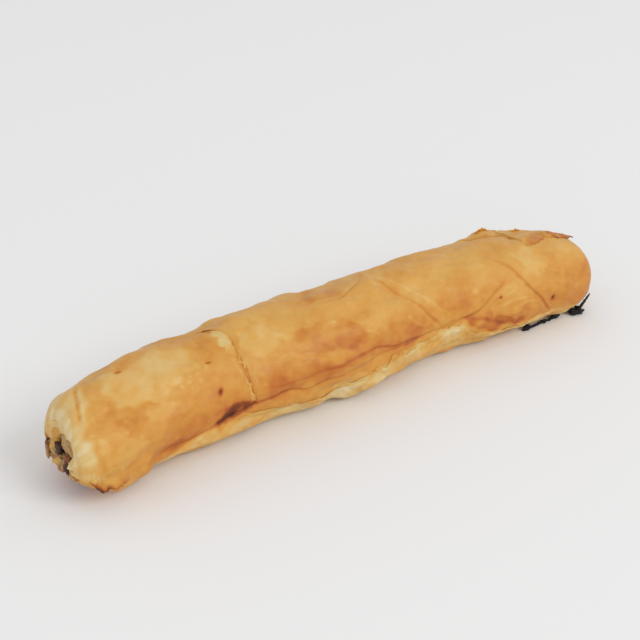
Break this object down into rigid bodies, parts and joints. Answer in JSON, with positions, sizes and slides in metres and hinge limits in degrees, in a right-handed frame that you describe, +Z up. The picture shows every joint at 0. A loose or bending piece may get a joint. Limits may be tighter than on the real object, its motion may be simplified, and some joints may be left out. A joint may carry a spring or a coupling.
{
  "type": "beef borek",
  "caption": "Long baked roll of thin flaky pastry round a beef filling, with tucked ends, lifted and torn sheets on top and burnt crust underneath.",
  "frame": {"origin": "on the surface it rests on, under the middle of its bounding box", "axes": "+X along the roll, from the open end where the beef shows to the rounded end; +Z up; the long browned seam faces -Y"},
  "size_m": [0.2556, 0.0562, 0.0421],
  "materials": {
    "pastry": "baked yufka sheets, golden with pale and browned places, satin from oil",
    "beef_filling": "cooked minced beef, dark brown and rough",
    "burnt_crust": "charred juice and crumbs, black and rough",
    "burnt_flake": "charred scrap, black and rough"
  },
  "bodies": {
    "root": {"pastry": "pastry", "beef_filling": "beef_filling", "burnt_crust": "burnt_crust", "burnt_flake": "burnt_flake"}
  },
  "joints": []
}
